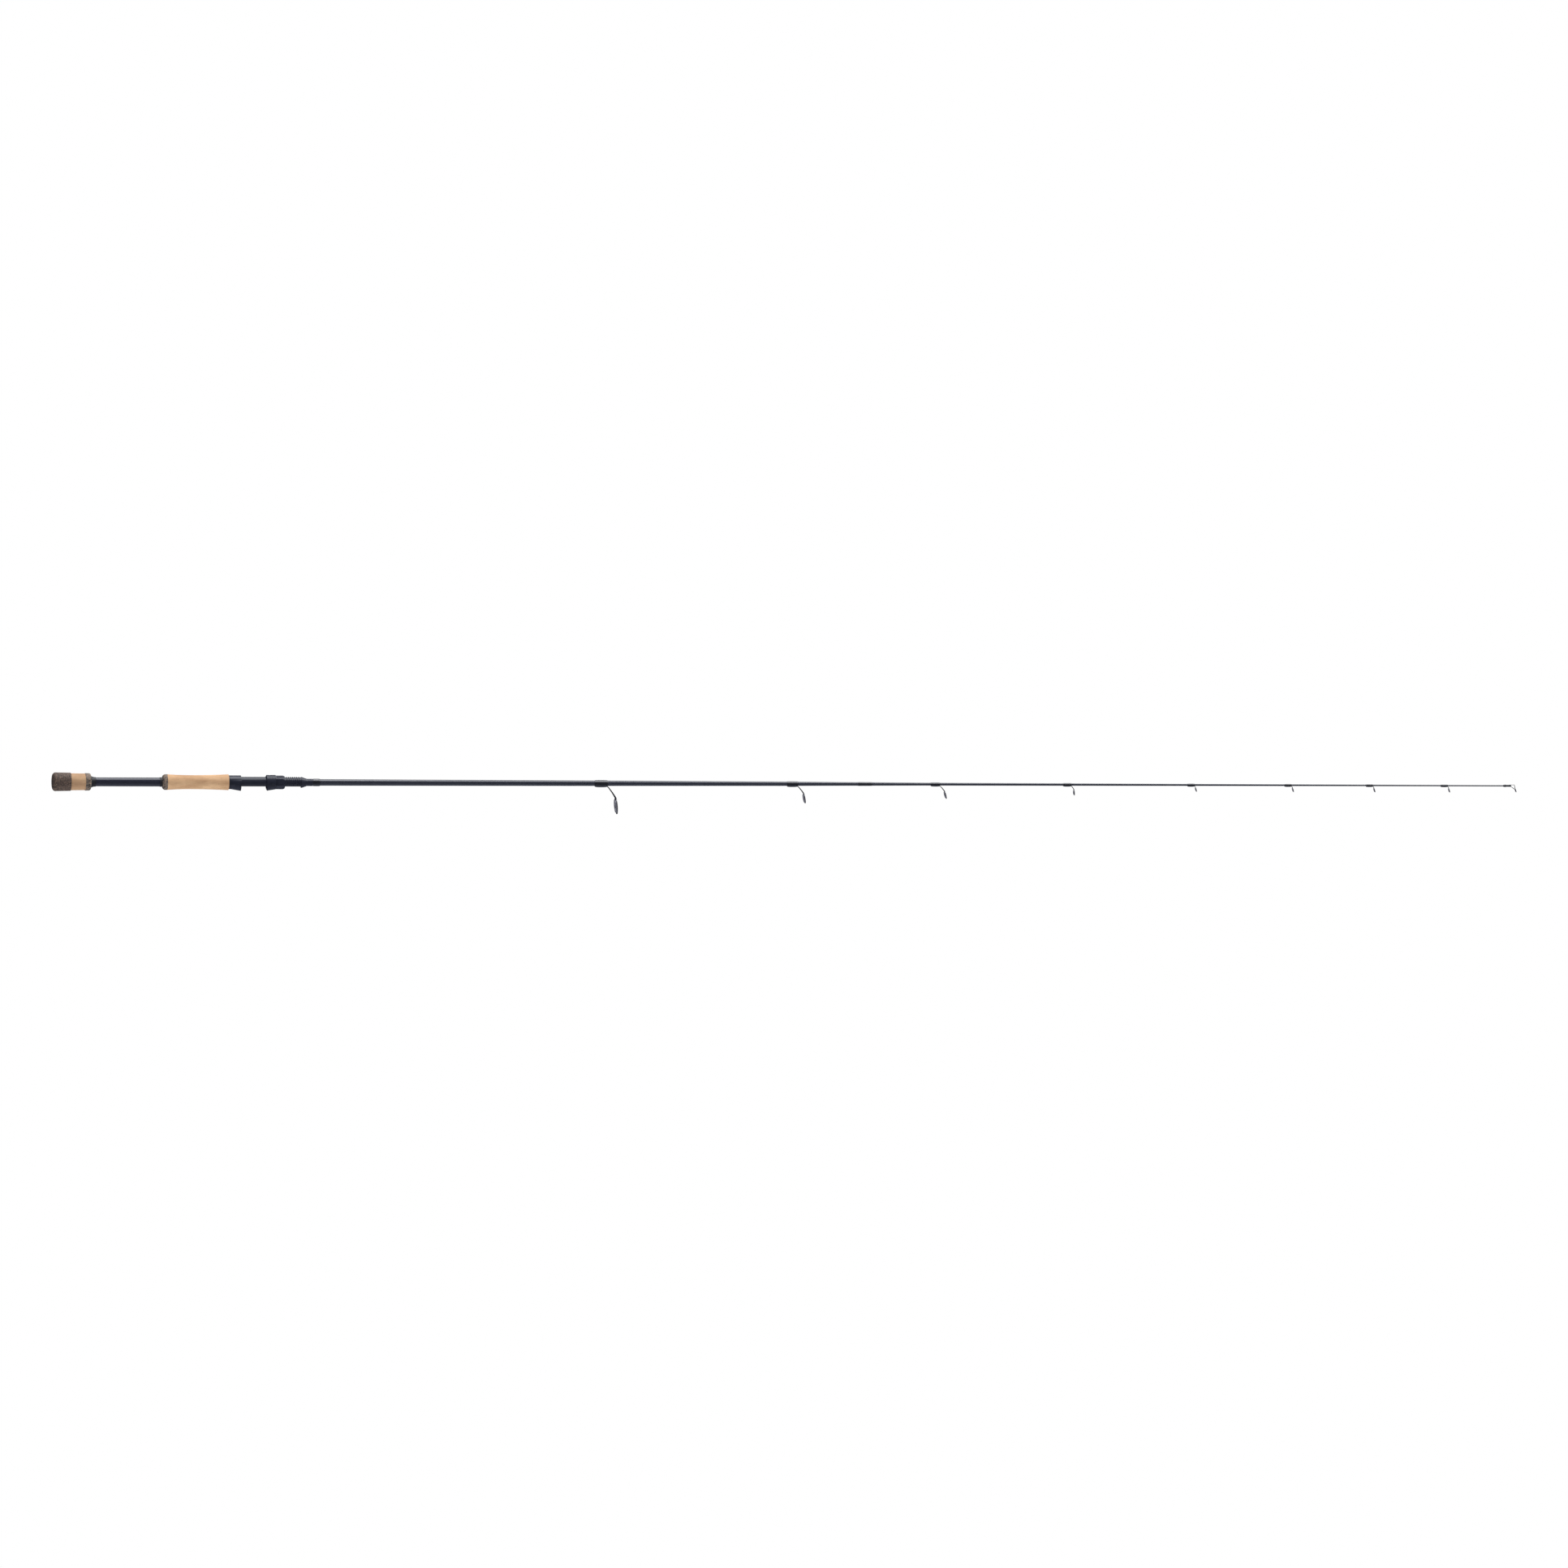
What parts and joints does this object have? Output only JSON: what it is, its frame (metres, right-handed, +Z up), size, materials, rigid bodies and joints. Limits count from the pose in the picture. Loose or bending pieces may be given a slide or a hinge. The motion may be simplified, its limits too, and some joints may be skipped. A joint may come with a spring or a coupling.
{
  "type": "spinning rod",
  "caption": "Two-piece spinning rod with a split cork grip, a screw-locking reel seat, single-foot line guides and a tip-top, jointed at a slip-over ferrule.",
  "frame": {"origin": "centre of the butt cap's rear face, on the rod's axis", "axes": "+X along the rod from butt to tip, +Z up with the guides hanging to -Z"},
  "size_m": [2.1354, 0.0272, 0.0583],
  "materials": {
    "rubberised_cork": "speckled, matte",
    "burl_cork": "speckled cork, sanded",
    "cork": "sanded cork",
    "tube_skin": "satin",
    "check_rubber": "satin",
    "seat_nylon": "satin moulded",
    "arbor_foam": "foam",
    "graphite": "clear coated graphite",
    "wrap_epoxy": "thread under epoxy",
    "guide_steel": "black plated steel",
    "ring_ceramic": "polished"
  },
  "bodies": {
    "butt_section": {"butt_cap": "rubberised_cork", "butt_cork_ring_1": "cork", "butt_cork_ring_2": "cork", "butt_burl_ring": "burl_cork", "butt_check": "check_rubber", "handle_tube": "tube_skin", "handle_check": "check_rubber", "grip_burl_ring": "burl_cork", "grip_cork_ring_1": "cork", "grip_cork_ring_2": "cork", "grip_cork_ring_3": "cork", "grip_cork_ring_4": "cork", "grip_cork_ring_5": "cork", "grip_cork_ring_6": "cork", "grip_cork_ring_7": "cork", "seat_barrel": "seat_nylon", "seat_arbor_rear": "arbor_foam", "seat_arbor_front": "arbor_foam", "fixed_hood": "seat_nylon", "butt_blank": "graphite", "trim_wrap": "wrap_epoxy", "guide_1_frame": "guide_steel", "guide_1_ring": "ring_ceramic", "guide_1_wrap": "wrap_epoxy", "guide_2_frame": "guide_steel", "guide_2_ring": "ring_ceramic", "guide_2_wrap": "wrap_epoxy"},
    "movable_hood": {"movable_hood": "seat_nylon"},
    "lock_nut": {"lock_nut": "seat_nylon"},
    "tip_section": {"tip_blank": "graphite", "ferrule_wrap": "wrap_epoxy", "guide_3_frame": "guide_steel", "guide_3_ring": "ring_ceramic", "guide_3_wrap": "wrap_epoxy", "guide_4_frame": "guide_steel", "guide_4_ring": "ring_ceramic", "guide_4_wrap": "wrap_epoxy", "guide_5_frame": "guide_steel", "guide_5_ring": "ring_ceramic", "guide_5_wrap": "wrap_epoxy", "guide_6_frame": "guide_steel", "guide_6_ring": "ring_ceramic", "guide_6_wrap": "wrap_epoxy", "guide_7_frame": "guide_steel", "guide_7_ring": "ring_ceramic", "guide_7_wrap": "wrap_epoxy", "guide_8_frame": "guide_steel", "guide_8_ring": "ring_ceramic", "guide_8_wrap": "wrap_epoxy", "tip_top_frame": "guide_steel", "tip_top_ring": "ring_ceramic", "tip_top_wrap": "wrap_epoxy"}
  },
  "joints": [
    {"name": "hood_slide", "type": "slide", "parent": "butt_section", "child": "movable_hood", "axis": [1, 0, 0], "range_m": [-0.0105, 0.0225]},
    {"name": "nut_turn", "type": "hinge", "parent": "movable_hood", "child": "lock_nut", "pos_m": [0.332, 0, 0], "axis": [1, 0, 0], "range_deg": [-1200, 2640]},
    {"name": "ferrule_slide", "type": "slide", "parent": "butt_section", "child": "tip_section", "axis": [1, 0, 0], "range_m": [0, 0.08]}
  ],
  "couplings": [
    {"joint": "hood_slide", "follows": "nut_turn", "m_per_rad": 0.00047746}
  ]
}
